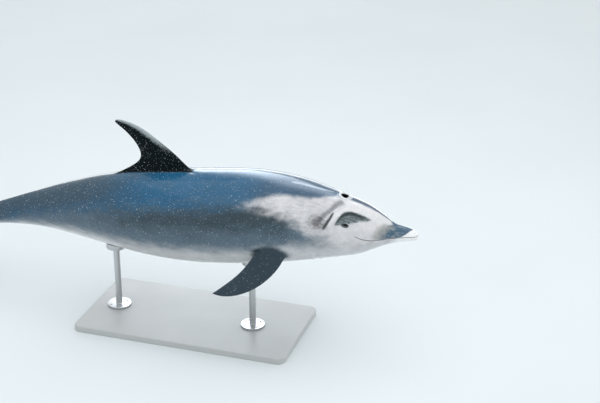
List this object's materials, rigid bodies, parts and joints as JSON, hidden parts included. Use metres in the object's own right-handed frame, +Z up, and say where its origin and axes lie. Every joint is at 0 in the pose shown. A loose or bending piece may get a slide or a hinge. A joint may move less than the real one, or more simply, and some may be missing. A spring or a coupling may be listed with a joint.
{
  "type": "bottlenose dolphin on a display stand",
  "caption": "Life-size still model of a bottlenose dolphin, back gently arched as it surfaces, held over a flat base by rods under the belly.",
  "frame": {"origin": "middle of the underside of the stand's base, on the floor", "axes": "+X the way the animal swims, +Y its left side, +Z up; the whole part is symmetric about the XZ plane"},
  "size_m": [2.6673, 0.656, 1.0373],
  "materials": {
    "skin": "smooth wet skin, slate blue back over a pale grey flank and belly",
    "fin_skin": "smooth wet skin, near black",
    "eye": "polished dark brown",
    "stand_paint": "satin paint",
    "stand_steel": "brushed"
  },
  "bodies": {
    "root": {"head": "skin", "lower_jaw": "skin", "neck": "skin", "trunk_front": "skin", "trunk_rear": "skin", "tail_stock": "skin", "dorsal_fin": "fin_skin", "flipper_left": "fin_skin", "flipper_right": "fin_skin", "fluke_left": "fin_skin", "fluke_right": "fin_skin", "eye_left": "eye", "eye_right": "eye", "stand_base": "stand_paint", "stand_flange_front": "stand_steel", "stand_flange_rear": "stand_steel", "stand_rod_front": "stand_steel", "stand_rod_rear": "stand_steel", "stand_saddle_front": "stand_steel", "stand_saddle_rear": "stand_steel"}
  },
  "joints": []
}
